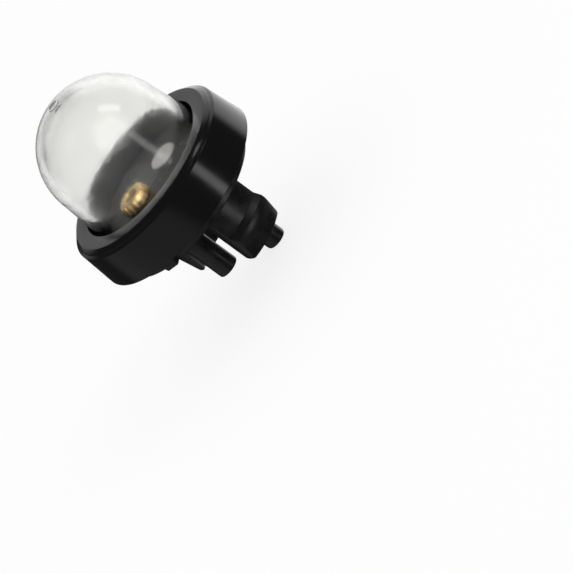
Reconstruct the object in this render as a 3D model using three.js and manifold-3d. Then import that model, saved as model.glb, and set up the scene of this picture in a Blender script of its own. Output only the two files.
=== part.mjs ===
// Snap-in primer bulb of a small garden machine.
//
// Frame: millimetres, +Z along the bulb and out through its dome. The origin is the middle of the
// back face of the base flange, the face that seats on the machine's panel. The two nipples stand
// on the X axis and the two snap arms on the Y axis, all below the panel seat.

import * as THREE from "three";
import { mergeVertices } from "three/addons/utils/BufferGeometryUtils.js";
import Module from "manifold-3d";

const wasm = await Module();
wasm.setup();

// Facets of a full turn on the large and on the small round pieces
const largeFacets = 72;
const smallFacets = 28;

// Clearance kept between pieces that slide into one another
const fitClearance = 0.3;

// Base flange
const flangeRadius = 12.7;
const flangeStandOut = 1.85;
const flangeInCollar = 2.75;
const flangeEdgeBevel = 0.2;

// Locating lug on the rim of the flange
const lugReach = 0.85;
const lugWidth = 3.2;
const lugSlope = 1.7;
const lugRootDepth = 1.5;
const lugHeight = 1.6;
const lugAngle = 206;

// Clamped foot of the bulb
const footThickness = 1.5;
const footClearance = 0.2;

// Bulb
const bulbWall = 1.3;
const bulbRootRadius = 11.0;
const domeRadius = 10.4;
const domeCentreAboveFace = 5.28;
const footBlend = 0.2;
const gateRadius = 1.0;
const gateHeight = 0.12;

// Collar ring
const collarBackRadius = 15.0;
const collarFrontRadius = 14.55;
const collarFaceRadius = 13.45;
const collarChamferHeight = 0.97;
const collarStepRadius = 14.1;
const collarStepHeight = 0.08;
const collarLip = 2.57;
const collarEdgeBevel = 0.25;
const throatClearance = 0.1;

// Platform of the base inside the bulb
const platformHeight = 1.9;

// Snap arms
const armInnerRadius = 7.0;
const armThickness = 1.5;
const armWidth = 8.0;
const armLength = 10.15;
const armTipCorner = 0.55;
const armTipInnerChamfer = 0.7;
const armTipRadius = 8.15;
const hookCatchDepth = 5.1;
const hookCatchRise = 0.85;
const hookReach = 0.9;
const hookCrown = 0.5;
const hookCrownFall = 0.15;
const hookNoseRise = 0.6;

// Long inlet nipple on +X, short outlet nipple on -X
const inletX = 3.65;
const inletRadius = 1.68;
const inletLength = 15.0;
const outletX = -4.15;
const outletRadius = 1.73;
const outletLength = 10.25;
const nippleBore = 0.8;
const inletEndRound = 0.35;
const outletEndRound = 0.12;

// Umbrella valve of the inlet and its seat in the platform
const discRadius = 2.25;
const discThickness = 0.6;
const discDimpleRadius = 0.7;
const discDimpleDepth = 0.25;
const seatRecess = 0.45;
const seatWeb = 1.0;
const stemRadius = 0.5;
const stemClearance = 0.2;
const beadRadius = 0.85;
const beadHeight = 0.8;
const beadGap = 0.15;
const inletChamberRadius = 1.95;
const inletChamberDepth = 2.2;
const seatPortRadius = 0.35;
const seatPortCircle = 1.35;
const seatPorts = 4;

// Brass ferrule of the outlet
const ferruleHeadRadius = 2.55;
const ferruleHeadHeight = 1.6;
const ferruleRibs = 16;
const ferruleRibDepth = 0.22;
const ferruleBarrelRadius = 1.8;
const ferruleBarrelLength = 1.5;
const ferruleBore = 1.1;

// Duckbill valve under the ferrule
const billFlangeThickness = 0.7;
const billBodyRadius = 1.3;
const billBodyLength = 0.9;
const billLipLength = 1.5;
const billLipThickness = 0.5;
const billWall = 0.4;
const billSlit = 0.12;
const billFloorGap = 0.4;

// Heights that follow from the sizes above
const collarBackZ = flangeStandOut;
const footSeatZ = flangeStandOut + flangeInCollar;
const lipUnderZ = footSeatZ + footThickness;
const faceZ = lipUnderZ + collarLip;
const domeCentreZ = faceZ + domeCentreAboveFace;
const platformTopZ = footSeatZ + platformHeight;
const discSeatZ = platformTopZ - seatRecess;

// A round body turned about Z from points [radius, height], listed anticlockwise
function turned(points, facets) {
  const profile = points.map(([r, z]) => new THREE.Vector2(r, z));
  const geometry = new THREE.LatheGeometry(profile, facets);
  geometry.rotateX(Math.PI / 2);
  return geometry;
}

function ring(points, facets) {
  return turned([...points, points[0]], facets);
}

// Points on an arc in the profile plane, angles in degrees from the radius axis
function arc(centreR, centreZ, radius, fromAngle, toAngle, steps) {
  const points = [];
  for (let i = 0; i <= steps; i += 1) {
    const angle = THREE.MathUtils.degToRad(fromAngle + ((toAngle - fromAngle) * i) / steps);
    points.push([centreR + radius * Math.cos(angle), centreZ + radius * Math.sin(angle)]);
  }
  return points;
}

function toSolid(geometry) {
  const bare = geometry.index ? geometry.toNonIndexed() : geometry.clone();
  bare.deleteAttribute("normal");
  bare.deleteAttribute("uv");
  const welded = mergeVertices(bare, 1e-4);
  const index = welded.index.array;
  const kept = [];
  for (let i = 0; i < index.length; i += 3) {
    const [a, b, c] = [index[i], index[i + 1], index[i + 2]];
    if (a !== b && b !== c && c !== a) kept.push(a, b, c);
  }
  const mesh = new wasm.Mesh({
    numProp: 3,
    vertProperties: new Float32Array(welded.attributes.position.array),
    triVerts: new Uint32Array(kept),
  });
  mesh.merge();
  return new wasm.Manifold(mesh);
}

function toGeometry(solid) {
  const mesh = solid.getMesh();
  const geometry = new THREE.BufferGeometry();
  geometry.setAttribute("position", new THREE.BufferAttribute(mesh.vertProperties, 3));
  geometry.setIndex(new THREE.BufferAttribute(mesh.triVerts, 1));
  geometry.computeVertexNormals();
  return geometry;
}

// A round bar or hole along Z between two heights
function bar(radius, lowZ, highZ, facets = smallFacets) {
  return turned([[0, lowZ], [radius, lowZ], [radius, highZ], [0, highZ]], facets);
}

function roundBarSolid(radius, lowZ, highZ, x, y = 0, facets = smallFacets) {
  return toSolid(bar(radius, lowZ, highZ, facets).translate(x, y, 0));
}

// Outer surface of the bulb between its root and the start of the dome is a straight taper
function bulbRadiusAt(z) {
  const share = (z - lipUnderZ) / (domeCentreZ - lipUnderZ);
  return bulbRootRadius + (domeRadius - bulbRootRadius) * share;
}

const throatRadius = bulbRootRadius + footBlend + throatClearance;
const collarBoreRadius = flangeRadius + fitClearance;
const footRadius = collarBoreRadius - fitClearance - footClearance;
const platformRadius = bulbRootRadius - bulbWall - fitClearance;

// Clear bulb with its foot, open below
function makeBulb() {
  const innerRadius = domeRadius - bulbWall;
  const innerRoot = bulbRootRadius - bulbWall;
  const gateAngle = THREE.MathUtils.radToDeg(Math.acos(gateRadius / domeRadius));
  const gateTopZ = domeCentreZ + Math.sqrt(domeRadius ** 2 - gateRadius ** 2) + gateHeight;
  const outer = [
    [footRadius, footSeatZ],
    [footRadius, lipUnderZ],
    [bulbRootRadius + footBlend, lipUnderZ],
    [bulbRadiusAt(lipUnderZ + footBlend), lipUnderZ + footBlend],
    ...arc(0, domeCentreZ, domeRadius, 0, gateAngle, 12),
    [gateRadius, gateTopZ],
    [0, gateTopZ],
  ];
  const inner = [
    [0, domeCentreZ + innerRadius],
    ...arc(0, domeCentreZ, innerRadius, 81, 0, 9),
    [innerRoot, footSeatZ],
  ];
  return turned([...inner, ...outer], largeFacets);
}

// Black ring that clamps the foot of the bulb on the base
function makeCollar() {
  const chamferTopZ = faceZ;
  const chamferBackZ = faceZ - collarChamferHeight;
  const stepShare = (collarStepRadius - collarFaceRadius) / (collarFrontRadius - collarFaceRadius);
  const stepZ = chamferTopZ - collarChamferHeight * stepShare;
  return ring([
    [collarBackRadius - collarEdgeBevel, collarBackZ],
    [collarBackRadius, collarBackZ + collarEdgeBevel],
    [collarFrontRadius, chamferBackZ],
    [collarStepRadius, stepZ - collarStepHeight],
    [collarStepRadius, stepZ],
    [collarFaceRadius, chamferTopZ],
    [throatRadius, faceZ],
    [throatRadius, lipUnderZ],
    [collarBoreRadius, lipUnderZ],
    [collarBoreRadius, collarBackZ],
  ], largeFacets);
}

// Flange, the part inside the collar and the platform inside the bulb
function flangeSolid() {
  return toSolid(turned([
    [0, 0],
    [flangeRadius - flangeEdgeBevel, 0],
    [flangeRadius, flangeEdgeBevel],
    [flangeRadius, footSeatZ],
    [platformRadius, footSeatZ],
    [platformRadius, platformTopZ],
    [0, platformTopZ],
  ], largeFacets));
}

// Locating lug, square on one side and sloped on the other
function lugSolid() {
  const lowRadius = flangeRadius - lugRootDepth;
  const highRadius = flangeRadius + lugReach;
  const half = lugWidth / 2;
  const outline = new THREE.Shape();
  outline.moveTo(lowRadius, -half);
  outline.lineTo(flangeRadius - fitClearance, -half);
  outline.lineTo(highRadius, -half + lugSlope);
  outline.lineTo(highRadius, half);
  outline.lineTo(lowRadius, half);
  const lug = new THREE.ExtrudeGeometry(outline, { depth: lugHeight, bevelEnabled: false });
  lug.rotateZ(THREE.MathUtils.degToRad(lugAngle));
  return toSolid(lug);
}

// Both snap arms: a turned sleeve with the hook's section, cut to the arms' width
function armsSolid() {
  const outerRadius = armInnerRadius + armThickness;
  const hookRadius = outerRadius + hookReach;
  const catchZ = -hookCatchDepth;
  const crownZ = catchZ - hookCatchRise;
  const noseZ = crownZ - hookCrown - hookNoseRise;
  const tipZ = -armLength;
  const sleeve = ring([
    [armInnerRadius + armTipInnerChamfer, tipZ],
    [armTipRadius - armTipInnerChamfer / 4, tipZ],
    [armTipRadius, tipZ + armTipInnerChamfer / 4],
    [hookRadius - hookCrownFall, noseZ],
    [hookRadius, crownZ - hookCrown],
    [hookRadius - hookCrownFall / 2, crownZ],
    [outerRadius, catchZ],
    [outerRadius, flangeStandOut / 2],
    [armInnerRadius, flangeStandOut / 2],
    [armInnerRadius, tipZ + armTipInnerChamfer],
  ], largeFacets);
  const half = armWidth / 2;
  const outline = new THREE.Shape();
  outline.moveTo(-half, flangeStandOut);
  outline.lineTo(-half, tipZ + armTipCorner);
  outline.absarc(-half + armTipCorner, tipZ + armTipCorner, armTipCorner, Math.PI, 1.5 * Math.PI);
  outline.absarc(half - armTipCorner, tipZ + armTipCorner, armTipCorner, 1.5 * Math.PI, 2 * Math.PI);
  outline.lineTo(half, flangeStandOut);
  const reach = 2 * (hookRadius + fitClearance);
  const slab = new THREE.ExtrudeGeometry(outline, { depth: reach, bevelEnabled: false, curveSegments: 4 });
  slab.translate(0, 0, -reach / 2);
  slab.rotateX(Math.PI / 2);
  return toSolid(sleeve).intersect(toSolid(slab));
}

function nippleSolid(x, radius, length, endRound) {
  return toSolid(turned([
    [0, -length],
    [radius - endRound, -length],
    [radius, -length + endRound],
    [radius, flangeStandOut / 2],
    [0, flangeStandOut / 2],
  ], smallFacets).translate(x, 0, 0));
}

// The hollow that the inlet valve and the long nipple's bore need
function inletHollow() {
  const webUnderZ = discSeatZ - seatWeb;
  const chamberFloorZ = webUnderZ - inletChamberDepth;
  let hollow = roundBarSolid(discRadius + fitClearance, discSeatZ, platformTopZ + 1, inletX);
  hollow = hollow.add(roundBarSolid(inletChamberRadius, chamberFloorZ, webUnderZ, inletX));
  hollow = hollow.add(roundBarSolid(nippleBore, -inletLength - 1, chamberFloorZ + 0.1, inletX));
  const through = { low: webUnderZ - 0.1, high: discSeatZ + 0.1 };
  hollow = hollow.add(roundBarSolid(stemRadius + stemClearance, through.low, through.high, inletX));
  for (let i = 0; i < seatPorts; i += 1) {
    const angle = ((i + 0.5) * 2 * Math.PI) / seatPorts;
    const x = inletX + seatPortCircle * Math.cos(angle);
    const y = seatPortCircle * Math.sin(angle);
    hollow = hollow.add(roundBarSolid(seatPortRadius, through.low, through.high, x, y, 12));
  }
  return hollow;
}

const ferruleFootZ = platformTopZ - ferruleBarrelLength;
const billSeatZ = ferruleFootZ - billFlangeThickness;
const billTipZ = billSeatZ - billBodyLength - billLipLength;
const ferrulePocketRadius = ferruleBarrelRadius + fitClearance;
const billPocketRadius = billBodyRadius + fitClearance;

// The hollow that the ferrule, the duckbill and the short nipple's bore need
function outletHollow() {
  const floorZ = billTipZ - billFloorGap;
  let hollow = roundBarSolid(ferrulePocketRadius, billSeatZ, platformTopZ + 1, outletX);
  hollow = hollow.add(roundBarSolid(billPocketRadius, floorZ, billSeatZ + 0.1, outletX));
  hollow = hollow.add(roundBarSolid(nippleBore, -outletLength - 1, floorZ + 0.1, outletX));
  return hollow;
}

function makeBase() {
  const body = flangeSolid()
    .add(lugSolid())
    .add(armsSolid())
    .add(nippleSolid(inletX, inletRadius, inletLength, inletEndRound))
    .add(nippleSolid(outletX, outletRadius, outletLength, outletEndRound));
  return toGeometry(body.subtract(inletHollow()).subtract(outletHollow()));
}

// White umbrella valve: dimpled disc, stem and the bead that holds it under its seat
function makeInletValve() {
  const topZ = discSeatZ + discThickness;
  const beadTopZ = discSeatZ - seatWeb - beadGap;
  return turned([
    [0, beadTopZ - beadHeight],
    [stemRadius, beadTopZ - beadHeight],
    [beadRadius, beadTopZ - beadHeight / 2],
    [stemRadius, beadTopZ],
    [stemRadius, discSeatZ],
    [discRadius, discSeatZ],
    [discRadius, topZ - discThickness / 4],
    [discRadius - discThickness / 4, topZ],
    [discDimpleRadius, topZ],
    [0, topZ - discDimpleDepth],
  ], smallFacets).translate(inletX, 0, 0);
}

// Brass ferrule: ribbed head on the platform and a plain barrel in the base
function makeFerrule() {
  const outline = new THREE.Shape();
  for (let i = 0; i < ferruleRibs; i += 1) {
    const pitch = (2 * Math.PI) / ferruleRibs;
    for (const [share, radius] of [
      [0, ferruleHeadRadius],
      [0.45, ferruleHeadRadius],
      [0.6, ferruleHeadRadius - ferruleRibDepth],
      [0.85, ferruleHeadRadius - ferruleRibDepth],
    ]) {
      const angle = (i + share) * pitch;
      const [x, y] = [radius * Math.cos(angle), radius * Math.sin(angle)];
      if (i === 0 && share === 0) outline.moveTo(x, y);
      else outline.lineTo(x, y);
    }
  }
  const head = new THREE.ExtrudeGeometry(outline, { depth: ferruleHeadHeight, bevelEnabled: false });
  head.translate(0, 0, platformTopZ);
  const barrel = bar(ferruleBarrelRadius, ferruleFootZ, platformTopZ + ferruleHeadHeight / 2);
  const bore = bar(ferruleBore, ferruleFootZ - 1, platformTopZ + ferruleHeadHeight + 1);
  const solid = toSolid(head).add(toSolid(barrel)).subtract(toSolid(bore));
  return toGeometry(solid.translate([outletX, 0, 0]));
}

// Duckbill valve: flange under the ferrule, short tube and two lips that close to a slit
function makeOutletValve() {
  const tube = turned([
    [0, billSeatZ - billBodyLength],
    [billBodyRadius, billSeatZ - billBodyLength],
    [billBodyRadius, billSeatZ],
    [ferruleBarrelRadius, billSeatZ],
    [ferruleBarrelRadius, ferruleFootZ],
    [0, ferruleFootZ],
  ], smallFacets);
  const lipsTopZ = billSeatZ - billBodyLength;
  const wedge = (topHalf, tipHalf, topZ, tipZ, halfWidth) => {
    const shape = new THREE.Shape();
    shape.moveTo(-topHalf, topZ);
    shape.lineTo(-tipHalf, tipZ);
    shape.lineTo(tipHalf, tipZ);
    shape.lineTo(topHalf, topZ);
    const slab = new THREE.ExtrudeGeometry(shape, { depth: 2 * halfWidth, bevelEnabled: false });
    slab.translate(0, 0, -halfWidth);
    slab.rotateX(Math.PI / 2);
    return toSolid(slab);
  };
  const column = toSolid(bar(billBodyRadius, billTipZ, lipsTopZ + 0.1));
  const lips = wedge(billBodyRadius, billLipThickness, lipsTopZ + 0.1, billTipZ, billBodyRadius);
  const innerRadius = billBodyRadius - billWall;
  const throat = toSolid(bar(innerRadius, lipsTopZ, ferruleFootZ + 1));
  const core = toSolid(bar(innerRadius, billTipZ - 1, lipsTopZ + 0.1));
  const slit = wedge(innerRadius, billSlit / 2, lipsTopZ + 0.1, billTipZ - 0.1, billBodyRadius);
  const body = toSolid(tube).add(column.intersect(lips));
  const solid = body.subtract(throat).subtract(core.intersect(slit));
  return toGeometry(solid.translate([outletX, 0, 0]));
}

const clearBulb = new THREE.MeshStandardMaterial({
  color: 0xe4e7e6,
  roughness: 0.18,
  metalness: 0,
  transparent: true,
  opacity: 0.4,
});
const collarBlack = new THREE.MeshStandardMaterial({ color: 0x151516, roughness: 0.28, metalness: 0 });
const baseBlack = new THREE.MeshStandardMaterial({ color: 0x1c1c1d, roughness: 0.5, metalness: 0 });
const brass = new THREE.MeshStandardMaterial({ color: 0xc9a15a, roughness: 0.35, metalness: 1 });
const whiteSilicone = new THREE.MeshStandardMaterial({ color: 0xe9e8e2, roughness: 0.55, metalness: 0 });
const blackRubber = new THREE.MeshStandardMaterial({ color: 0x101010, roughness: 0.7, metalness: 0 });

const primerBulb = new THREE.Group();

function addPiece(name, geometry, material) {
  const piece = new THREE.Mesh(geometry, material);
  piece.name = name;
  primerBulb.add(piece);
}

addPiece("bulb", makeBulb(), clearBulb);
addPiece("collar_ring", makeCollar(), collarBlack);
addPiece("base_body", makeBase(), baseBlack);
addPiece("inlet_valve", makeInletValve(), whiteSilicone);
addPiece("outlet_ferrule", makeFerrule(), brass);
addPiece("outlet_valve", makeOutletValve(), blackRubber);

export default primerBulb;
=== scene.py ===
import math

import bmesh
import bpy
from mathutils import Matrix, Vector


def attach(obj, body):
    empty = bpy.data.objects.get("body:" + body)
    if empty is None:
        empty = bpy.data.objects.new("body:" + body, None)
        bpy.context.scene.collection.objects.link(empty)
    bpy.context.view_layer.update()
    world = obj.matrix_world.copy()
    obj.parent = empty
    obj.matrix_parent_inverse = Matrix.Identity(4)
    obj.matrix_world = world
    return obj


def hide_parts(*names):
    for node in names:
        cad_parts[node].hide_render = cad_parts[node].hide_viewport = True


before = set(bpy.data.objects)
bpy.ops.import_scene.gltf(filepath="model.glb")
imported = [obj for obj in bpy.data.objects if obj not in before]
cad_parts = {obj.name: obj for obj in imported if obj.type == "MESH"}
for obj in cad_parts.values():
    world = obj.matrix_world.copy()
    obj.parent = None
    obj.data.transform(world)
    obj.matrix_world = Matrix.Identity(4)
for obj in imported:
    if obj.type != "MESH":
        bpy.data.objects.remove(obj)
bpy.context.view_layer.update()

mm = 0.001  # every length below is in millimetres, Blender works in metres
weldGap = 0.001  # vertices nearer to each other than this are one
nearGap = 0.01  # what lies nearer than this to a place counts as on it
cutOverlap = 0.1  # how far one cut runs into the next
cutReach = 1.0  # how far a cutter stands out of the piece
roundShare = 0.3  # how far in and down the middle of a rounded edge lies, as a share of its width


def onlySelect(piece):
    bpy.ops.object.select_all(action="DESELECT")
    piece.select_set(True)
    bpy.context.view_layer.objects.active = piece


def startEdit(piece, mode="VERT"):
    onlySelect(piece)
    bpy.ops.object.mode_set(mode="EDIT")
    bpy.ops.mesh.select_mode(type=mode)
    bpy.ops.mesh.select_all(action="DESELECT")


def endEdit():
    bpy.ops.object.mode_set(mode="OBJECT")


# An open ring of edges at its size and place, left selected in edit mode
def startRing(name, radius, height, segments, centreX=0.0):
    bpy.ops.object.select_all(action="DESELECT")
    bpy.ops.mesh.primitive_circle_add(
        vertices=segments, radius=radius * mm, fill_type="NOTHING", location=(centreX * mm, 0, height * mm))
    piece = bpy.context.object
    piece.name = piece.data.name = name
    bpy.ops.object.transform_apply(location=True, rotation=True, scale=True)
    startEdit(piece, "EDGE")
    bpy.ops.mesh.select_all(action="SELECT")
    return piece


# Extrudes the selected ring through the radii and heights that follow its own, and closes it at radius 0
def growRing(points, centreX=0.0):
    radius, height = points[0]
    for nextRadius, nextHeight in points[1:]:
        step = (0, 0, (nextHeight - height) * mm)
        bpy.ops.mesh.extrude_region_move(TRANSFORM_OT_translate={"value": step})
        if nextRadius == 0:
            bpy.ops.mesh.merge(type="CENTER")
        else:
            share = nextRadius / radius
            centre = (centreX * mm, 0, nextHeight * mm)
            bpy.ops.transform.resize(value=(share, share, 1), center_override=centre)
        radius, height = nextRadius, nextHeight


# Merges what lies on itself, fills open ends and turns the faces outwards
def closeShell(piece):
    bpy.ops.mesh.select_mode(type="VERT")
    bpy.ops.mesh.select_all(action="SELECT")
    bpy.ops.mesh.remove_doubles(threshold=weldGap * mm)
    bpy.ops.mesh.fill_holes(sides=0)
    bpy.ops.mesh.select_all(action="SELECT")
    bpy.ops.mesh.normals_make_consistent(inside=False)
    endEdit()
    return piece


def turnPiece(name, points, segments, centreX=0.0):
    piece = startRing(name, *points[0], segments, centreX)
    growRing(points, centreX)
    return closeShell(piece)


def arcPoints(centreZ, radius, fromAngle, toAngle, steps):
    angles = [math.radians(fromAngle + (toAngle - fromAngle) * i / steps) for i in range(steps + 1)]
    return [(radius * math.cos(a), centreZ + radius * math.sin(a)) for a in angles]


def selectFaces(piece, wanted):
    mesh = bmesh.from_edit_mesh(piece.data)
    for face in mesh.faces:
        face.select_set(wanted(face.calc_center_median() / mm, face.normal))
    bmesh.update_edit_mesh(piece.data)


def selectEdges(piece, wanted):
    mesh = bmesh.from_edit_mesh(piece.data)
    for edge in mesh.edges:
        ends = [vertex.co / mm for vertex in edge.verts]
        edge.select_set(wanted(ends[0], ends[1]))
    bmesh.update_edit_mesh(piece.data)


def applyModifier(piece, kind, **settings):
    onlySelect(piece)
    bpy.ops.object.modifier_add(type=kind)
    modifier = piece.modifiers[-1]
    for key, value in settings.items():
        setattr(modifier, key, value)
    bpy.ops.object.modifier_apply(modifier=modifier.name)


# Unites, cuts or intersects a piece with another, which is used up
def combine(piece, other, operation):
    applyModifier(piece, "BOOLEAN", operation=operation, object=other, solver="EXACT")
    onlySelect(other)
    bpy.ops.object.delete()


def softenEdges(piece, width, angle=30, steps=2):
    applyModifier(piece, "BEVEL", width=width * mm, segments=steps, limit_method="ANGLE",
                  angle_limit=math.radians(angle), use_clamp_overlap=True, harden_normals=False)


def shadeSmooth(piece, angle):
    onlySelect(piece)
    bpy.ops.object.shade_smooth_by_angle(angle=math.radians(angle))


def addBlock(name, low, high):
    bpy.ops.object.select_all(action="DESELECT")
    centre = [(a + b) / 2 * mm for a, b in zip(low, high)]
    bpy.ops.mesh.primitive_cube_add(size=1, location=centre)
    piece = bpy.context.object
    piece.name = piece.data.name = name
    piece.scale = [(b - a) * mm for a, b in zip(low, high)]
    bpy.ops.object.transform_apply(location=True, rotation=True, scale=True)
    return piece


def turnAboutAxis(piece, degrees):
    onlySelect(piece)
    piece.rotation_euler = (0, 0, math.radians(degrees))
    bpy.ops.object.transform_apply(location=True, rotation=True, scale=True)


# Camera at the photograph's viewing angle, its place in metres and its turn in degrees
cameraSettings = {
    "place": (-0.30077, -0.68141, 0.2943),
    "turn": (54.3834, 48.1484, -51.8063),
    "lens": 360.3,
    "clip": (0.01, 20),
}
camera = bpy.data.objects.new("camera", bpy.data.cameras.new("camera"))
bpy.context.scene.collection.objects.link(camera)
camera.location = cameraSettings["place"]
camera.rotation_euler = [math.radians(a) for a in cameraSettings["turn"]]
camera.data.lens = cameraSettings["lens"]
camera.data.clip_start, camera.data.clip_end = cameraSettings["clip"]
bpy.context.scene.camera = camera
print("camera placed")

# Clear dome with the foot that the collar clamps
bulbSizes = {
    "footOuter": 12.5,
    "footUnder": 4.6,
    "footTop": 6.1,
    "footEdge": 0.15,
    "rootRadius": 11.0,
    "rootBlend": 0.2,
    "domeRadius": 10.4,
    "domeCentre": 13.95,
    "wall": 1.3,
    "gateRadius": 1.0,
    "gateStep": 0.08,
    "gateInsets": (0.06, 0.22, 0.34),
    "stubRadius": 0.2,
    "stubFlare": 0.03,
    "seamAngle": 235,
    "seamLow": 9.5,
    "seamHigh": 22.0,
    "seamWidth": 0.14,
    "seamRise": 0.05,
    "seamDepth": 0.1,
    "segments": 144,
    "outerSteps": 26,
    "innerSteps": 28,
    "innerEnd": 87,
    "smoothAngle": 40,
}


def makeBulb(sizes):
    innerRoot = sizes["rootRadius"] - sizes["wall"]
    innerDome = sizes["domeRadius"] - sizes["wall"]
    taper = (sizes["domeRadius"] - sizes["rootRadius"]) / (sizes["domeCentre"] - sizes["footTop"])
    gateAngle = math.degrees(math.acos(sizes["gateRadius"] / sizes["domeRadius"]))
    gateFoot = sizes["domeCentre"] + math.sqrt(sizes["domeRadius"] ** 2 - sizes["gateRadius"] ** 2)
    gateTop = gateFoot + sizes["gateStep"]
    grooveFloor = gateFoot + sizes["gateStep"] / 2
    ringOuter, ringInner, grooveOuter = [sizes["gateRadius"] - inset for inset in sizes["gateInsets"]]
    foot, edge = sizes["footOuter"], sizes["footEdge"]
    under, top = sizes["footUnder"], sizes["footTop"]
    outside = [
        (innerRoot, under),
        (foot - edge, under),
        (foot, under + edge),
        (foot, top - edge),
        (foot - edge, top),
        (sizes["rootRadius"] + sizes["rootBlend"], top),
        (sizes["rootRadius"] + taper * sizes["rootBlend"], top + sizes["rootBlend"]),
        *arcPoints(sizes["domeCentre"], sizes["domeRadius"], 0, gateAngle, sizes["outerSteps"]),
        (ringOuter, gateTop),
        (ringInner, gateTop),
        (grooveOuter, grooveFloor),
        (sizes["stubRadius"] + sizes["stubFlare"], grooveFloor),
        (sizes["stubRadius"], gateTop),
        (0, gateTop),
    ]
    inside = [
        (innerRoot, under),
        (innerRoot, top),
        *arcPoints(sizes["domeCentre"], innerDome, 0, sizes["innerEnd"], sizes["innerSteps"]),
        (0, sizes["domeCentre"] + innerDome),
    ]
    piece = startRing("bulb_shell", *outside[0], sizes["segments"])
    growRing(outside)
    bpy.ops.mesh.select_all(action="DESELECT")
    selectEdges(piece, lambda a, b: max(abs(a.z - under), abs(b.z - under)) < weldGap
                and max(a.xy.length, b.xy.length) < innerRoot + nearGap)
    growRing(inside)
    closeShell(piece)
    raiseSeam(piece, sizes)
    return piece


# Fine mould line up two opposite sides of the dome
def raiseSeam(piece, sizes):
    turn = math.radians(sizes["seamAngle"])

    def onSeam(point):
        across = abs(point.x * math.sin(turn) - point.y * math.cos(turn))
        reach = math.hypot(point.xy.length, max(0, point.z - sizes["domeCentre"]))
        onDome = reach > sizes["domeRadius"] - sizes["seamDepth"]
        return across < nearGap and onDome and sizes["seamLow"] < point.z < sizes["seamHigh"]

    startEdit(piece, "EDGE")
    selectEdges(piece, lambda a, b: onSeam(a) and onSeam(b))
    bpy.ops.mesh.bevel(offset=sizes["seamWidth"] / 2 * mm, segments=1, affect="EDGES")
    bpy.ops.mesh.select_mode(type="FACE")
    bpy.ops.mesh.extrude_region_shrink_fatten(TRANSFORM_OT_shrink_fatten={"value": sizes["seamRise"] * mm})
    endEdit()


bulb = makeBulb(bulbSizes)
shadeSmooth(bulb, bulbSizes["smoothAngle"])
print("bulb modelled")

# Black ring that clamps the foot of the dome
collarSizes = {
    "backRadius": 15.0,
    "frontRadius": 14.55,
    "faceRadius": 13.45,
    "throatRadius": 11.3,
    "boreRadius": 13.0,
    "backHeight": 1.85,
    "lipUnder": 6.1,
    "faceHeight": 8.67,
    "chamferHeight": 0.97,
    "stepRadius": 14.1,
    "stepHeight": 0.08,
    "edge": 0.16,
    "edgeSteps": 3,
    "segments": 160,
    "smoothAngle": 35,
}


def makeCollar(sizes):
    fall = (sizes["stepRadius"] - sizes["faceRadius"]) / (sizes["frontRadius"] - sizes["faceRadius"])
    stepTop = sizes["faceHeight"] - sizes["chamferHeight"] * fall
    return turnPiece("collar_shell", [
        (sizes["boreRadius"], sizes["backHeight"]),
        (sizes["backRadius"], sizes["backHeight"]),
        (sizes["frontRadius"], sizes["faceHeight"] - sizes["chamferHeight"]),
        (sizes["stepRadius"], stepTop - sizes["stepHeight"]),
        (sizes["stepRadius"], stepTop),
        (sizes["faceRadius"], sizes["faceHeight"]),
        (sizes["throatRadius"], sizes["faceHeight"]),
        (sizes["throatRadius"], sizes["lipUnder"]),
        (sizes["boreRadius"], sizes["lipUnder"]),
        (sizes["boreRadius"], sizes["backHeight"]),
    ], sizes["segments"])


collar = makeCollar(collarSizes)
softenEdges(collar, collarSizes["edge"], steps=collarSizes["edgeSteps"])
shadeSmooth(collar, collarSizes["smoothAngle"])
print("collar ring modelled")

# Base with its flange, platform, snap arms, lug and nipples, all one moulding
baseSizes = {
    "flangeRadius": 12.7,
    "flangeEdge": 0.2,
    "seatHeight": 4.6,
    "platformRadius": 9.4,
    "platformTop": 6.5,
    "platformEdge": 0.15,
    "rootHeight": 0.9,
    "segments": 144,
    "smoothAngle": 35,
}
armSizes = {
    "inner": 7.0,
    "outer": 8.5,
    "hook": 9.4,
    "width": 8.0,
    "catch": -5.1,
    "crown": -5.95,
    "crownEnd": -6.45,
    "nose": -7.05,
    "tip": -10.15,
    "tipRadius": 8.15,
    "tipChamfer": 0.7,
    "tipEdge": 0.175,
    "tipCorner": 0.55,
    "cornerSteps": 5,
    "crownInset": 0.075,
    "noseInset": 0.15,
    "edge": 0.1,
    "edgeAngle": 25,
    "blockReach": 12,
    "segments": 120,
}
lugSizes = {
    "root": 11.2,
    "outer": 13.55,
    "width": 3.2,
    "slopeFoot": 12.4,
    "slope": 1.7,
    "height": 1.6,
    "edge": 0.12,
    "angle": 206,
}
nippleSizes = {
    "inlet": {"x": 3.65, "radius": 1.68, "length": 15.0, "endRound": 0.35},
    "outlet": {"x": -4.15, "radius": 1.73, "length": 10.25, "endRound": 0.15},
    "segments": 48,
}
hollowSizes = {
    "bore": 0.8,
    "seat": 2.55,
    "seatFloor": 6.05,
    "seatWeb": 5.05,
    "chamber": 1.95,
    "chamberFloor": 2.85,
    "ferrule": 2.1,
    "ferruleFloor": 4.3,
    "bill": 1.6,
    "billFloor": 1.5,
    "stem": 0.7,
    "port": 0.35,
    "portCircle": 1.35,
    "ports": 4,
    "segments": 40,
}


def makeFlange(sizes):
    return turnPiece("base_shell", [
        (sizes["flangeRadius"] - sizes["flangeEdge"], 0),
        (sizes["flangeRadius"], sizes["flangeEdge"]),
        (sizes["flangeRadius"], sizes["seatHeight"]),
        (sizes["platformRadius"], sizes["seatHeight"]),
        (sizes["platformRadius"], sizes["platformTop"] - sizes["platformEdge"]),
        (sizes["platformRadius"] - sizes["platformEdge"], sizes["platformTop"]),
    ], sizes["segments"])


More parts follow.
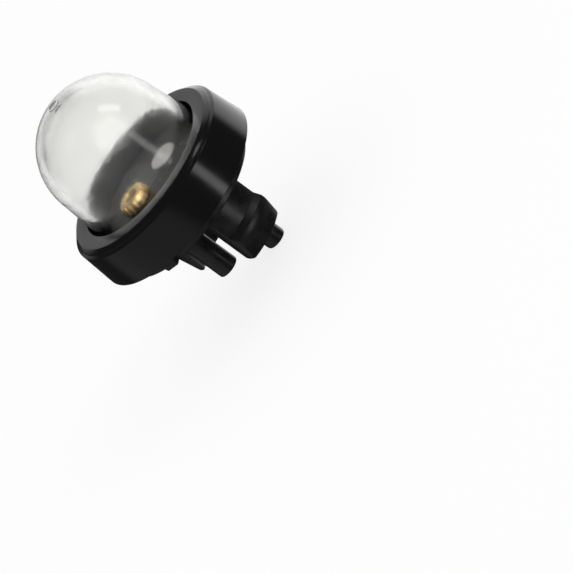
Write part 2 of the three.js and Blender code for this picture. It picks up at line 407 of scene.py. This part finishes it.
# Both arms: a sleeve with the hook's section, cut to the arms' width by a block with round corners
def makeArms(sizes):
    chamfer = sizes["tipChamfer"]
    root = baseSizes["rootHeight"]
    sleeve = turnPiece("arms", [
        (sizes["inner"], root),
        (sizes["outer"], root),
        (sizes["outer"], sizes["catch"]),
        (sizes["hook"] - sizes["crownInset"], sizes["crown"]),
        (sizes["hook"], sizes["crownEnd"]),
        (sizes["hook"] - sizes["noseInset"], sizes["nose"]),
        (sizes["tipRadius"], sizes["tip"] + sizes["tipEdge"]),
        (sizes["tipRadius"] - sizes["tipEdge"], sizes["tip"]),
        (sizes["inner"] + chamfer, sizes["tip"]),
        (sizes["inner"], sizes["tip"] + chamfer),
        (sizes["inner"], root),
    ], sizes["segments"])
    half, reach = sizes["width"] / 2, sizes["blockReach"]
    block = addBlock("armBlock", (-half, -reach, sizes["tip"]), (half, reach, root + cutReach))
    startEdit(block, "EDGE")
    selectEdges(block, lambda a, b: max(a.z, b.z) < sizes["tip"] + nearGap and abs(a.x - b.x) < nearGap)
    bpy.ops.mesh.bevel(offset=sizes["tipCorner"] * mm, segments=sizes["cornerSteps"], affect="EDGES")
    endEdit()
    combine(sleeve, block, "INTERSECT")
    softenEdges(sleeve, sizes["edge"], angle=sizes["edgeAngle"])
    return sleeve


# Locating lug, square on one side and sloped on the other
def makeLug(sizes):
    half = sizes["width"] / 2
    lug = addBlock("lug", (sizes["root"], -half, 0), (sizes["outer"], half, sizes["height"]))
    run = sizes["outer"] - sizes["slopeFoot"]
    startEdit(lug)
    bpy.ops.mesh.select_all(action="SELECT")
    bpy.ops.mesh.bisect(plane_co=(sizes["slopeFoot"] * mm, -half * mm, 0), plane_no=(sizes["slope"], -run, 0),
                        use_fill=True, clear_outer=True)
    endEdit()
    softenEdges(lug, sizes["edge"])
    turnAboutAxis(lug, sizes["angle"])
    return lug


def makeNipple(name, sizes):
    radius, tip, bend = sizes["radius"], -sizes["length"], sizes["endRound"]
    return turnPiece(name, [
        (radius, baseSizes["rootHeight"]),
        (radius, tip + bend),
        (radius - roundShare * bend, tip + roundShare * bend),
        (radius - bend, tip),
    ], nippleSizes["segments"], sizes["x"])


def cutHole(piece, radius, low, high, x, y=0.0):
    cutter = turnPiece("cutter", [(radius, low), (radius, high)], hollowSizes["segments"], x)
    if y:
        startEdit(cutter)
        bpy.ops.mesh.select_all(action="SELECT")
        bpy.ops.transform.translate(value=(0, y * mm, 0))
        endEdit()
    combine(piece, cutter, "DIFFERENCE")


def makeBase():
    piece = makeFlange(baseSizes)
    inlet, outlet = nippleSizes["inlet"], nippleSizes["outlet"]
    nipples = [makeNipple("longNipple", inlet), makeNipple("shortNipple", outlet)]
    for part in [makeArms(armSizes), makeLug(lugSizes), *nipples]:
        combine(piece, part, "UNION")
    sizes = hollowSizes
    above = baseSizes["platformTop"] + cutReach
    inletX, outletX = inlet["x"], outlet["x"]
    cutHole(piece, sizes["seat"], sizes["seatFloor"], above, inletX)
    cutHole(piece, sizes["chamber"], sizes["chamberFloor"], sizes["seatWeb"], inletX)
    cutHole(piece, sizes["bore"], -inlet["length"] - cutReach, sizes["chamberFloor"] + cutOverlap, inletX)
    webLow, webHigh = sizes["seatWeb"] - cutOverlap, sizes["seatFloor"] + cutOverlap
    cutHole(piece, sizes["stem"], webLow, webHigh, inletX)
    for i in range(sizes["ports"]):
        angle = (i + 0.5) * math.tau / sizes["ports"]
        x, y = inletX + sizes["portCircle"] * math.cos(angle), sizes["portCircle"] * math.sin(angle)
        cutHole(piece, sizes["port"], webLow, webHigh, x, y)
    cutHole(piece, sizes["ferrule"], sizes["ferruleFloor"], above, outletX)
    cutHole(piece, sizes["bill"], sizes["billFloor"], sizes["ferruleFloor"] + cutOverlap, outletX)
    cutHole(piece, sizes["bore"], -outlet["length"] - cutReach, sizes["billFloor"] + cutOverlap, outletX)
    return piece


base = makeBase()
shadeSmooth(base, baseSizes["smoothAngle"])
print("base modelled")

# White umbrella valve over the long nipple
valveSizes = {
    "x": 3.65,
    "discRadius": 2.25,
    "seat": 6.05,
    "thickness": 0.6,
    "edgeRound": 0.2,
    "seatEdge": 0.08,
    "dimpleRadius": 0.7,
    "dimpleDepth": 0.25,
    "dimpleLip": 0.08,
    "dimpleEdge": (0.05, 0.06),
    "stem": 0.5,
    "bead": 0.85,
    "beadInset": 0.1,
    "beadFlat": 0.15,
    "beadTop": 4.9,
    "beadHeight": 0.8,
    "segments": 64,
    "smoothAngle": 40,
}


def makeInletValve(sizes):
    top = sizes["seat"] + sizes["thickness"]
    disc, bend = sizes["discRadius"], sizes["edgeRound"]
    middle = sizes["beadTop"] - sizes["beadHeight"] / 2
    foot = sizes["beadTop"] - sizes["beadHeight"]
    edgeIn, edgeDown = sizes["dimpleEdge"]
    return turnPiece("valve_disc", [
        (sizes["stem"], foot),
        (sizes["bead"] - sizes["beadInset"], middle - sizes["beadFlat"]),
        (sizes["bead"], middle),
        (sizes["bead"] - sizes["beadInset"], middle + sizes["beadFlat"]),
        (sizes["stem"], sizes["beadTop"]),
        (sizes["stem"], sizes["seat"]),
        (disc - sizes["seatEdge"], sizes["seat"]),
        (disc, sizes["seat"] + sizes["seatEdge"]),
        (disc, top - bend),
        (disc - roundShare * bend, top - roundShare * bend),
        (disc - bend, top),
        (sizes["dimpleRadius"] + sizes["dimpleLip"], top),
        (sizes["dimpleRadius"] - edgeIn, top - edgeDown),
        (sizes["dimpleRadius"] / 2, top - sizes["dimpleDepth"]),
        (0, top - sizes["dimpleDepth"]),
    ], sizes["segments"], sizes["x"])


inletValve = makeInletValve(valveSizes)
shadeSmooth(inletValve, valveSizes["smoothAngle"])
print("inlet valve modelled")

# Ribbed brass ferrule over the short nipple
ferruleSizes = {
    "x": -4.15,
    "headRadius": 2.55,
    "rootRadius": 2.33,
    "headLow": 6.5,
    "headHigh": 8.1,
    "barrelRadius": 1.8,
    "foot": 5.0,
    "bore": 1.1,
    "ribs": 16,
    "ribShare": 0.5,
    "facetsPerRib": 6,
    "wallRadius": 1.9,
    "wallTilt": 0.5,
    "rim": 0.12,
    "taper": 0.3,
    "taperHeight": 0.8,
    "edge": 0.04,
    "smoothAngle": 35,
}


def makeFerrule(sizes):
    rim = sizes["rim"]
    segments = sizes["ribs"] * sizes["facetsPerRib"]
    root = sizes["rootRadius"]
    piece = turnPiece("ferrule_turned", [
        (sizes["bore"], sizes["foot"]),
        (sizes["barrelRadius"], sizes["foot"]),
        (sizes["barrelRadius"], sizes["headLow"]),
        (root - rim, sizes["headLow"]),
        (root, sizes["headLow"] + rim),
        (root, sizes["headHigh"] - sizes["taperHeight"]),
        (root - sizes["taper"], sizes["headHigh"] - rim),
        (root - sizes["taper"] - rim, sizes["headHigh"]),
        (sizes["bore"] + rim, sizes["headHigh"]),
        (sizes["bore"], sizes["headHigh"] - rim),
        (sizes["bore"], sizes["foot"]),
    ], segments, sizes["x"])
    pitch = math.tau / sizes["ribs"]
    low, high = sizes["headLow"] + rim, sizes["headHigh"] - rim

    def onRib(centre, normal):
        out = math.hypot(centre.y, centre.x - sizes["x"])
        onWall = abs(normal.z) < sizes["wallTilt"] and low < centre.z < high and out > sizes["wallRadius"]
        angle = math.atan2(centre.y, centre.x - sizes["x"]) % pitch
        return onWall and angle < pitch * sizes["ribShare"]

    startEdit(piece, "FACE")
    selectFaces(piece, onRib)
    bpy.ops.mesh.extrude_region_shrink_fatten(
        TRANSFORM_OT_shrink_fatten={"value": (sizes["headRadius"] - root) * mm})
    endEdit()
    softenEdges(piece, sizes["edge"], angle=sizes["smoothAngle"])
    return piece


ferrule = makeFerrule(ferruleSizes)
shadeSmooth(ferrule, ferruleSizes["smoothAngle"])
print("ferrule modelled")

# Duckbill valve under the ferrule
billSizes = {
    "x": -4.15,
    "flangeRadius": 1.8,
    "flangeTop": 5.0,
    "flangeLow": 4.3,
    "bodyRadius": 1.3,
    "bodyLow": 3.4,
    "tip": 1.9,
    "lip": 0.5,
    "inner": 0.9,
    "slit": 0.06,
    "lipLength": 0.98,
    "slitLength": 0.7,
    "segments": 48,
    "smoothAngle": 35,
}


def makeOutletValve(sizes):
    x = sizes["x"]
    piece = startRing("duckbill", sizes["inner"], sizes["flangeTop"], sizes["segments"], x)
    growRing([
        (sizes["inner"], sizes["flangeTop"]),
        (sizes["flangeRadius"], sizes["flangeTop"]),
        (sizes["flangeRadius"], sizes["flangeLow"]),
        (sizes["bodyRadius"], sizes["flangeLow"]),
        (sizes["bodyRadius"], sizes["bodyLow"]),
        (sizes["bodyRadius"], sizes["tip"]),
    ], x)
    centre = (x * mm, 0, sizes["tip"] * mm)
    lip = (sizes["lip"] / sizes["bodyRadius"], sizes["lipLength"], 1)
    bpy.ops.transform.resize(value=lip, center_override=centre)
    bpy.ops.mesh.extrude_region_move(TRANSFORM_OT_translate={"value": (0, 0, 0)})
    slit = (sizes["slit"] / sizes["lip"], sizes["slitLength"], 1)
    bpy.ops.transform.resize(value=slit, center_override=centre)
    bpy.ops.mesh.extrude_region_move(
        TRANSFORM_OT_translate={"value": (0, 0, (sizes["bodyLow"] - sizes["tip"]) * mm)})
    centre = (x * mm, 0, sizes["bodyLow"] * mm)
    slitHalf = sizes["bodyRadius"] * sizes["lipLength"] * sizes["slitLength"]
    bore = (sizes["inner"] / sizes["slit"], sizes["inner"] / slitHalf, 1)
    bpy.ops.transform.resize(value=bore, center_override=centre)
    bpy.ops.mesh.extrude_region_move(
        TRANSFORM_OT_translate={"value": (0, 0, (sizes["flangeTop"] - sizes["bodyLow"]) * mm)})
    return closeShell(piece)


outletValve = makeOutletValve(billSizes)
shadeSmooth(outletValve, billSizes["smoothAngle"])
print("outlet valve modelled")


def newMaterial(name, **settings):
    material = bpy.data.materials.new(name)
    material.use_nodes = True
    shader = material.node_tree.nodes["Principled BSDF"]
    for key, value in settings.items():
        shader.inputs[key.replace("_", " ")].default_value = value
    return material, material.node_tree, shader


noiseMiddle = (0.35, 0.65)  # most of a noise texture's values lie between these
turnsPerWave = math.pi / 10  # the wave texture's own unit, its scale for one ring per length


# Places on the piece, scaled and shifted for a texture
def objectPlace(tree, scale, shift=(0, 0, 0)):
    where = tree.nodes.new("ShaderNodeTexCoord")
    place = tree.nodes.new("ShaderNodeMapping")
    place.inputs["Scale"].default_value = scale
    place.inputs["Location"].default_value = shift
    tree.links.new(where.outputs["Object"], place.inputs["Vector"])
    return place.outputs["Vector"]


# Noise through the piece, its grain in millimetres and lengthened along each axis by stretch
def addNoise(tree, grain, detail, stretch=(1, 1, 1)):
    noise = tree.nodes.new("ShaderNodeTexNoise")
    noise.inputs["Scale"].default_value = 1
    noise.inputs["Detail"].default_value = detail
    scale = [1 / (mm * grain * length) for length in stretch]
    tree.links.new(objectPlace(tree, scale), noise.inputs["Vector"])
    return noise.outputs["Fac"]


# Rings about an upright axis, as a lathe leaves them
def addRings(tree, look, centreX):
    rings = tree.nodes.new("ShaderNodeTexWave")
    rings.wave_type = "RINGS"
    rings.rings_direction = "Z"
    rings.inputs["Scale"].default_value = turnsPerWave / look["ring"]
    rings.inputs["Distortion"].default_value = look["ringWaver"]
    tree.links.new(objectPlace(tree, [1 / mm] * 3, (-centreX, 0, 0)), rings.inputs["Vector"])
    return rings.outputs["Fac"]


# Adds to the bumps that the shader has already
def addBump(tree, shader, height, depth):
    bump = tree.nodes.new("ShaderNodeBump")
    bump.inputs["Distance"].default_value = depth * mm
    before = shader.inputs["Normal"].links
    if before:
        tree.links.new(before[0].from_socket, bump.inputs["Normal"])
    tree.links.new(height, bump.inputs["Height"])
    tree.links.new(bump.outputs["Normal"], shader.inputs["Normal"])


# Patches in which the roughness, and the colour where the look has two, go from one end to the other
def addPatches(tree, shader, look):
    patch = addNoise(tree, look["patch"], look["patchDetail"])
    spread = tree.nodes.new("ShaderNodeMapRange")
    for key, number in zip(("From Min", "From Max", "To Min", "To Max"), (*noiseMiddle, *look["roughness"])):
        spread.inputs[key].default_value = number
    tree.links.new(patch, spread.inputs["Value"])
    tree.links.new(spread.outputs["Result"], shader.inputs["Roughness"])
    if "colours" in look:
        ramp = tree.nodes.new("ShaderNodeValToRGB")
        for element, place, colour in zip(ramp.color_ramp.elements, noiseMiddle, look["colours"]):
            element.position, element.color = place, (*colour, 1)
        tree.links.new(patch, ramp.inputs["Fac"])
        tree.links.new(ramp.outputs["Color"], shader.inputs["Base Color"])


def dress(piece, material, node):
    piece.data.materials.clear()
    piece.data.materials.append(material)
    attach(piece, "root")
    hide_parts(node)


# Clear polyurethane, faintly wavy from the mould
clearLook = {
    "roughness": (0.05, 0.1),
    "patch": 2.5,
    "patchDetail": 6,
    "wave": 3.0,
    "waveDetail": 1,
    "waveDepth": 0.006,
}
clearPlastic, tree, shader = newMaterial(
    "clearUrethane", Base_Color=(0.95, 0.95, 0.935, 1), IOR=1.49, Transmission_Weight=1.0)
addPatches(tree, shader, clearLook)
addBump(tree, shader, addNoise(tree, clearLook["wave"], clearLook["waveDetail"]), clearLook["waveDepth"])

# The same inside the dome, hazier and with fine streaks round it
innerLook = {
    "roughness": (0.1, 0.19),
    "patch": 1.6,
    "patchDetail": 5,
    "wave": 2.2,
    "waveDetail": 1,
    "waveDepth": 0.012,
    "streak": 0.4,
    "streakDetail": 2,
    "streakStretch": (7, 7, 1),
    "streakDepth": 0.008,
}
innerPlastic, tree, shader = newMaterial(
    "clearUrethaneInside", Base_Color=(0.96, 0.96, 0.945, 1), IOR=1.49, Transmission_Weight=0.99)
addPatches(tree, shader, innerLook)
addBump(tree, shader, addNoise(tree, innerLook["wave"], innerLook["waveDetail"]), innerLook["waveDepth"])
streaks = addNoise(tree, innerLook["streak"], innerLook["streakDetail"], innerLook["streakStretch"])
addBump(tree, shader, streaks, innerLook["streakDepth"])

# Polished black nylon, a little duller in patches, with fine scuffs and a slight moulded wave
collarLook = {
    "roughness": (0.13, 0.17),
    "patch": 2.4,
    "patchDetail": 8,
    "scuff": 0.5,
    "scuffDetail": 4,
    "scuffDepth": 0.0012,
    "wave": 5.0,
    "waveDetail": 0,
    "waveDepth": 0.01,
}
collarPlastic, tree, shader = newMaterial("polishedNylon", Base_Color=(0.005, 0.005, 0.0052, 1), IOR=1.5)
addPatches(tree, shader, collarLook)
for mark in ("scuff", "wave"):
    marks = addNoise(tree, collarLook[mark], collarLook[mark + "Detail"])
    addBump(tree, shader, marks, collarLook[mark + "Depth"])


# A material with patches of roughness and colour and a fine grain
def grainyMaterial(name, look, **settings):
    material, tree, shader = newMaterial(name, **settings)
    addPatches(tree, shader, look)
    if "ring" in look:
        addBump(tree, shader, addRings(tree, look, ferruleSizes["x"]), look["ringDepth"])
    addBump(tree, shader, addNoise(tree, look["grain"], look["grainDetail"]), look["grainDepth"])
    return material


# Satin black nylon with the fine grain of an eroded mould
baseLook = {
    "roughness": (0.26, 0.38),
    "colours": ((0.006, 0.006, 0.0062), (0.011, 0.011, 0.0112)),
    "patch": 1.8,
    "patchDetail": 6,
    "grain": 0.35,
    "grainDetail": 3,
    "grainDepth": 0.006,
}
basePlastic = grainyMaterial("satinNylon", baseLook, IOR=1.5)

# Turned brass, slightly tarnished in patches, with the rings of the lathe on its top
brassLook = {
    "roughness": (0.4, 0.54),
    "colours": ((0.82, 0.58, 0.25), (1.0, 0.78, 0.42)),
    "patch": 0.8,
    "patchDetail": 5,
    "ring": 0.11,
    "ringWaver": 0.3,
    "ringDepth": 0.006,
    "grain": 0.25,
    "grainDetail": 2,
    "grainDepth": 0.006,
}
brass = grainyMaterial("turnedBrass", brassLook, Metallic=1.0)

# White silicone, matt and slightly cloudy
siliconeLook = {
    "roughness": (0.42, 0.58),
    "colours": ((0.7, 0.68, 0.63), (0.8, 0.78, 0.74)),
    "patch": 1.1,
    "patchDetail": 4,
    "grain": 0.3,
    "grainDetail": 3,
    "grainDepth": 0.008,
}
silicone = grainyMaterial("whiteSilicone", siliconeLook, IOR=1.41)

# Black rubber with dusty patches
rubberLook = {
    "roughness": (0.6, 0.8),
    "colours": ((0.007, 0.007, 0.007), (0.018, 0.018, 0.017)),
    "patch": 0.7,
    "patchDetail": 5,
    "grain": 0.2,
    "grainDetail": 3,
    "grainDepth": 0.012,
}
rubber = grainyMaterial("blackRubber", rubberLook, IOR=1.52)


# The faces on the inside of the dome, above the foot's underside
def facesInwards(centre, normal):
    middle = Vector((0, 0, min(centre.z, bulbSizes["domeCentre"])))
    return centre.z > bulbSizes["footUnder"] + nearGap and normal.dot(centre - middle) < 0


dress(bulb, clearPlastic, "bulb")
bulb.data.materials.append(innerPlastic)
startEdit(bulb, "FACE")
selectFaces(bulb, facesInwards)
bulb.active_material_index = 1
bpy.ops.object.material_slot_assign()
endEdit()
dress(collar, collarPlastic, "collar_ring")
dress(base, basePlastic, "base_body")
dress(inletValve, silicone, "inlet_valve")
dress(ferrule, brass, "outlet_ferrule")
dress(outletValve, rubber, "outlet_valve")
print("materials made")

# Plain pale floor, which the camera sees almost white and which keeps the object's shadow
floorSettings = {
    "height": -15.05,
    "radius": 600,
    "segments": 96,
    "whiteShare": 0.8,
    "colour": (0.93, 0.93, 0.93, 1),
}
bpy.ops.object.select_all(action="DESELECT")
bpy.ops.mesh.primitive_circle_add(
    vertices=floorSettings["segments"], radius=floorSettings["radius"] * mm, fill_type="NGON",
    location=(0, 0, floorSettings["height"] * mm))
floor = bpy.context.object
floor.name = "floor"


def addMath(nodes, links, operation, first, second):
    node = nodes.new("ShaderNodeMath")
    node.operation = operation
    for socket, value in zip(node.inputs, (first, second)):
        if isinstance(value, (int, float)):
            socket.default_value = value
        else:
            links.new(value, socket)
    return node.outputs["Value"]


# The second shader where share is 1, the first where it is 0
def addChoice(nodes, links, share, first, second):
    mix = nodes.new("ShaderNodeMixShader")
    for socket, source in zip(mix.inputs, (share, first, second)):
        links.new(source, socket)
    return mix.outputs["Shader"]


floorMaterial = bpy.data.materials.new("paleFloor")
floorMaterial.use_nodes = True
nodes, links = floorMaterial.node_tree.nodes, floorMaterial.node_tree.links
nodes.clear()
diffuse = nodes.new("ShaderNodeBsdfDiffuse")
diffuse.inputs["Color"].default_value = floorSettings["colour"]
white = nodes.new("ShaderNodeEmission")
clear = nodes.new("ShaderNodeBsdfTransparent")
rays = nodes.new("ShaderNodeLightPath")
whiteShare = addMath(nodes, links, "MULTIPLY", rays.outputs["Is Camera Ray"], floorSettings["whiteShare"])
seenFloor = addChoice(nodes, links, whiteShare, diffuse.outputs["BSDF"], white.outputs["Emission"])
through = addMath(nodes, links, "MAXIMUM", rays.outputs["Is Glossy Ray"], rays.outputs["Is Transmission Ray"])
surface = addChoice(nodes, links, through, seenFloor, clear.outputs["BSDF"])
output = nodes.new("ShaderNodeOutputMaterial")
links.new(surface, output.inputs["Surface"])
floor.data.materials.append(floorMaterial)

# Soft studio. The object's gloss sees a dim room with white screens and a narrow upright strip light.
# Through the clear dome the white ground shows, and a light in front of it.
# Bearings go anticlockwise from the camera's and rises up from the horizon, and all widths are half widths.
studio = {
    "fill": 0.95,
    "room": 0.025,
    "ground": {"bearing": 180, "rise": -88, "half": 96, "soft": 10, "strength": 1.0},
    "front": {"bearing": 24, "rise": 30, "half": 30, "soft": 10, "strength": 4.0},
    "screens": [
        {"bearing": 145, "rise": -8, "half": 34, "soft": 8, "strength": 1.1},
        {"bearing": 140, "rise": 22, "half": 22, "soft": 10, "strength": 0.9},
        {"bearing": 190, "rise": 24, "half": 20, "soft": 10, "strength": 0.55},
        {"bearing": 36, "rise": -16, "half": 22, "soft": 6, "strength": 2.2, "slit": 5, "slitSoft": 2.5},
        {"bearing": -66, "rise": -18, "half": 50, "soft": 12, "strength": 0.22},
    ],
}
cameraBearing = 246.2  # of the camera about the object, anticlockwise from +X, in degrees


def studioDirection(bearing, rise):
    turn, lift = math.radians(cameraBearing + bearing), math.radians(rise)
    return Vector((math.cos(turn) * math.cos(lift), math.sin(turn) * math.cos(lift), math.sin(lift)))


world = bpy.data.worlds.new("studio")
bpy.context.scene.world = world
world.use_nodes = True
nodes, links = world.node_tree.nodes, world.node_tree.links
nodes.clear()
where = nodes.new("ShaderNodeTexCoord")


# Rises from 0 to 1 where a direction's share along the axis goes from low to high
def softStep(share, low, high):
    edge = nodes.new("ShaderNodeMapRange")
    edge.interpolation_type = "SMOOTHSTEP"
    links.new(share, edge.inputs["Value"])
    edge.inputs["From Min"].default_value = low
    edge.inputs["From Max"].default_value = high
    return edge.outputs["Result"]


# Cosine of the angle between the ray and an axis
def shareAlong(axis):
    dot = nodes.new("ShaderNodeVectorMath")
    dot.operation = "DOT_PRODUCT"
    links.new(where.outputs["Generated"], dot.inputs[0])
    dot.inputs[1].default_value = axis
    return dot.outputs["Value"]


# A round screen with a soft edge, narrowed to an upright slit where it has one
def addScreen(screen):
    low = math.cos(math.radians(screen["half"] + screen["soft"]))
    high = math.cos(math.radians(max(0, screen["half"] - screen["soft"])))
    shape = softStep(shareAlong(studioDirection(screen["bearing"], screen["rise"])), low, high)
    if "slit" in screen:
        outer = math.sin(math.radians(screen["slit"] + screen["slitSoft"]))
        inner = math.sin(math.radians(screen["slit"] - screen["slitSoft"]))
        aside = addMath(nodes, links, "ABSOLUTE", shareAlong(studioDirection(screen["bearing"] + 90, 0)), 0)
        shape = addMath(nodes, links, "MULTIPLY", shape, softStep(aside, outer, inner))
    return addMath(nodes, links, "MULTIPLY", shape, screen["strength"])


# White all round, as strong as a number or a node says
def addWhite(strength):
    background = nodes.new("ShaderNodeBackground")
    background.inputs["Color"].default_value = (1, 1, 1, 1)
    if isinstance(strength, (int, float)):
        background.inputs["Strength"].default_value = strength
    else:
        links.new(strength, background.inputs["Strength"])
    return background.outputs["Background"]


rays = nodes.new("ShaderNodeLightPath")
isGloss, isGlass = rays.outputs["Is Glossy Ray"], rays.outputs["Is Transmission Ray"]
glow = studio["room"]
for screen in studio["screens"]:
    glow = addMath(nodes, links, "MAXIMUM", addScreen(screen), glow)
throughGlass = addMath(nodes, links, "MAXIMUM", addScreen(studio["ground"]), addScreen(studio["front"]))
throughGlass = addMath(nodes, links, "MULTIPLY", throughGlass, isGlass)
glow = addMath(nodes, links, "MAXIMUM", glow, throughGlass)
glossOrGlass = addMath(nodes, links, "MAXIMUM", isGloss, isGlass)
lit = addChoice(nodes, links, glossOrGlass, addWhite(studio["fill"]), addWhite(glow))
seen = addChoice(nodes, links, rays.outputs["Is Camera Ray"], lit, addWhite(1))
output = nodes.new("ShaderNodeOutputWorld")
links.new(seen, output.inputs["Surface"])

lamps = {
    "keySoftbox": {
        "bearing": 73.4,
        "rise": 43,
        "roll": -98,
        "width": 200,
        "height": 80,
        "strength": 2.6,
        "colour": (1, 1, 1),
    },
    "smallLamp": {
        "bearing": 50,
        "rise": 41,
        "roll": 0,
        "width": 14,
        "height": 14,
        "strength": 9,
        "colour": (1, 0.9, 0.7),
    },
}
lampDistance = 400
lampAim = Vector((0, 0, 10))  # about the middle of the object
for name, lamp in lamps.items():
    light = bpy.data.lights.new(name, "AREA")
    light.shape = "RECTANGLE"
    light.size, light.size_y = lamp["width"] * mm, lamp["height"] * mm
    light.energy = lamp["strength"] * math.pi * light.size * light.size_y
    light.color = lamp["colour"]
    stand = bpy.data.objects.new(name, light)
    bpy.context.scene.collection.objects.link(stand)
    direction = studioDirection(lamp["bearing"], lamp["rise"])
    stand.location = (direction * lampDistance + lampAim) * mm
    stand.rotation_euler = direction.to_track_quat("Z", "Y").to_euler()
    stand.rotation_euler.rotate_axis("Z", math.radians(lamp["roll"]))

bpy.context.scene.view_settings.view_transform = "Standard"
print("studio lit")
